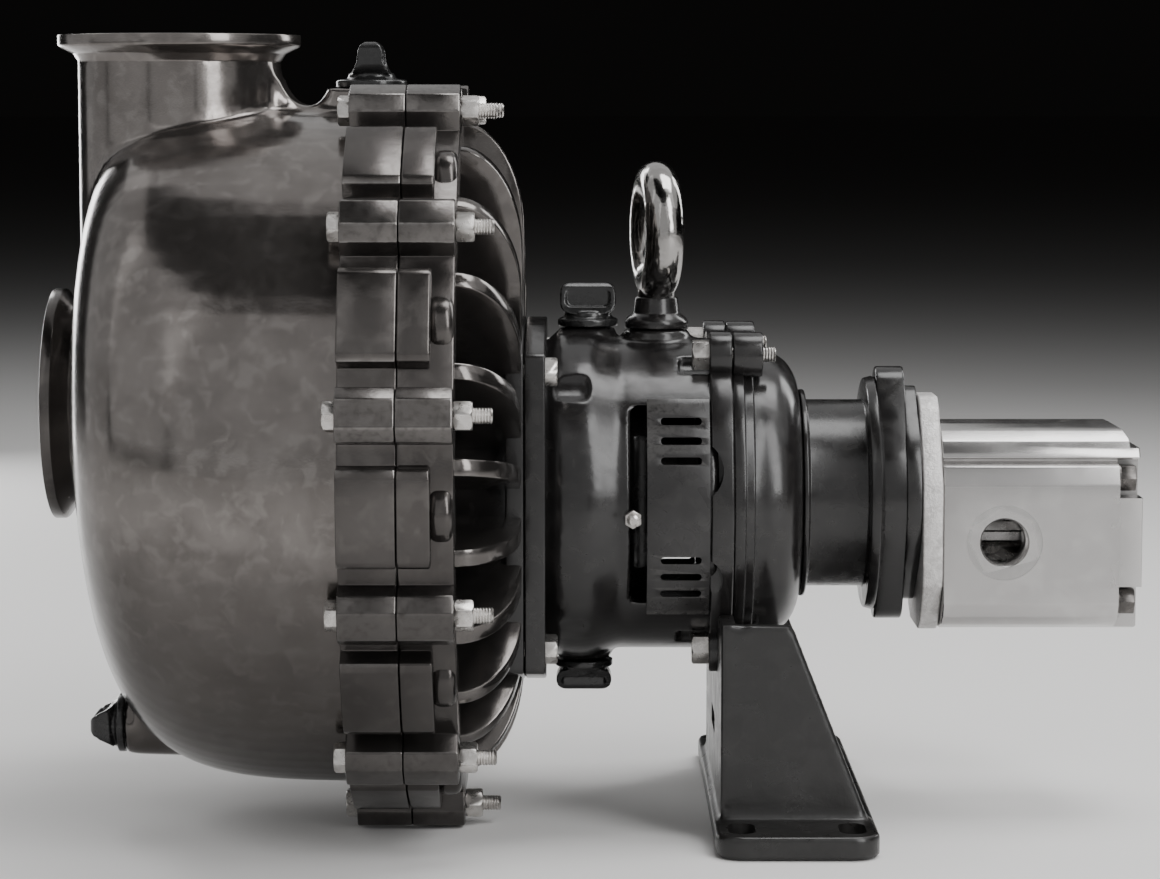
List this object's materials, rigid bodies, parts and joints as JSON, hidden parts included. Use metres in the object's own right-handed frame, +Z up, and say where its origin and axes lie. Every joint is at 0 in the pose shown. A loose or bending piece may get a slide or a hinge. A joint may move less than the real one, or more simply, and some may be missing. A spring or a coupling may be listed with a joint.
{
  "type": "hydraulic transfer pump",
  "caption": "Hydraulic transfer pump: bowl-shaped cast casing with clamp-rim ports, ribbed adapter, bearing frame on a foot, slotted coupling guard and aluminium gear motor.",
  "frame": {"origin": "middle of the foot's flat bottom face", "axes": "+X along the shaft from the casing to the motor, +Z up through the discharge port, -Y the side shown in the picture"},
  "size_m": [0.55, 0.3832, 0.4007],
  "materials": {
    "casing_iron": "semi-gloss mottled cast surface",
    "adapter_iron": "dark semi-gloss cast surface",
    "impeller_iron": "rough cast surface",
    "shaft_steel": "ground steel",
    "frame_paint": "glossy black paint on cast iron",
    "guard_paint": "satin black sheet steel",
    "coupling_iron": "machined cast iron",
    "cover_alloy": "grainy as-cast surface",
    "motor_alloy": "extruded and machined surface",
    "foot_paint": "satin black paint on cast iron",
    "eye_steel": "bright forged steel",
    "plug_plastic": "glossy black moulding",
    "zinc_steel": "bright zinc plate"
  },
  "bodies": {
    "root": {"volute_casing": "casing_iron", "rear_adapter": "adapter_iron", "impeller": "impeller_iron", "pump_shaft": "shaft_steel", "bearing_frame": "frame_paint", "coupling_guard_near": "guard_paint", "coupling_guard_far": "guard_paint", "coupling_hub_pump": "coupling_iron", "coupling_hub_motor": "coupling_iron", "end_bell": "frame_paint", "motor_adapter": "frame_paint", "motor_front_cover": "cover_alloy", "motor_body": "motor_alloy", "motor_drive_gear": "shaft_steel", "motor_driven_gear": "shaft_steel", "support_foot": "foot_paint", "lifting_eye": "eye_steel", "priming_plug": "plug_plastic", "drain_plug": "plug_plastic", "oil_fill_plug": "plug_plastic", "oil_drain_plug": "plug_plastic", "grease_nipple": "zinc_steel", "casing_bolt_01": "zinc_steel", "casing_bolt_02": "zinc_steel", "casing_bolt_03": "zinc_steel", "casing_bolt_04": "zinc_steel", "casing_bolt_05": "zinc_steel", "casing_bolt_06": "zinc_steel", "casing_bolt_07": "zinc_steel", "casing_bolt_08": "zinc_steel", "casing_bolt_09": "zinc_steel", "casing_bolt_10": "zinc_steel", "casing_bolt_11": "zinc_steel", "front_flange_bolt_1": "zinc_steel", "front_flange_bolt_2": "zinc_steel", "front_flange_bolt_3": "zinc_steel", "front_flange_bolt_4": "zinc_steel", "rear_flange_bolt_1": "zinc_steel", "rear_flange_bolt_2": "zinc_steel", "rear_flange_bolt_3": "zinc_steel", "rear_flange_bolt_4": "zinc_steel"}
  },
  "joints": []
}
